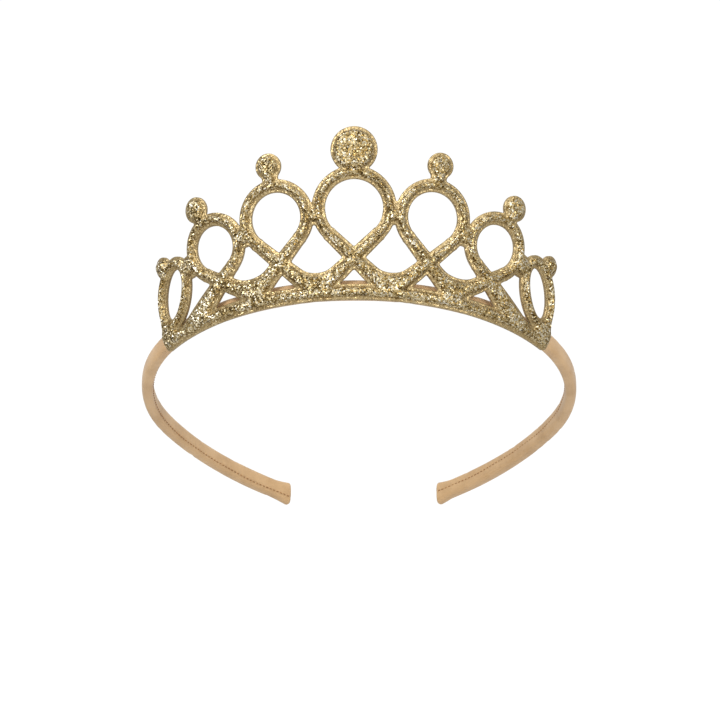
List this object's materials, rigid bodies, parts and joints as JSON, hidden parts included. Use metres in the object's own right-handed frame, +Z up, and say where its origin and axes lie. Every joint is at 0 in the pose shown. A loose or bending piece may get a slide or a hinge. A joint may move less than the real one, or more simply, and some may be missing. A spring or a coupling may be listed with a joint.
{
  "type": "crown headband",
  "caption": "Child's sprung C-shaped headband in a satin sleeve, with an openwork glitter crown of loops and balls standing up from its front.",
  "frame": {"origin": "middle of the band's inner face at the top of the arch, where it sits on the head", "axes": "as worn and as pictured: +Z up, the crown faces -Y, the arms fall back towards +Y, X across the head"},
  "size_m": [0.125, 0.1242, 0.1078],
  "materials": {
    "core_plastic": "plain moulded",
    "satin_sleeve": "pale gold satin",
    "seam_thread": "brown overcast thread",
    "backing_sheet": "pressed felt",
    "puff_foam": "soft foam",
    "glitter_sheet": "coarse gold glitter",
    "hot_melt": "cloudy glue"
  },
  "bodies": {
    "arch": {"core_arch": "core_plastic", "sleeve_arch": "satin_sleeve", "seam_arch": "seam_thread", "crown_backing": "backing_sheet", "crown_foam": "puff_foam", "crown_front": "glitter_sheet", "glue_bead": "hot_melt"},
    "left_arm": {"core_left_arm": "core_plastic", "sleeve_left_arm": "satin_sleeve", "seam_left_arm": "seam_thread"},
    "right_arm": {"core_right_arm": "core_plastic", "sleeve_right_arm": "satin_sleeve", "seam_right_arm": "seam_thread"}
  },
  "joints": [
    {"name": "left_arm_flex", "type": "hinge", "parent": "arch", "child": "left_arm", "pos_m": [-0.05619, 0.03199, -0.01658], "axis": [0, 0.4602, 0.8878], "range_deg": [-4, 12], "stiffness_Nm_per_rad": 0.5},
    {"name": "right_arm_flex", "type": "hinge", "parent": "arch", "child": "right_arm", "pos_m": [0.05619, 0.03199, -0.01658], "axis": [0, -0.4602, -0.8878], "range_deg": [-4, 12], "stiffness_Nm_per_rad": 0.5}
  ]
}
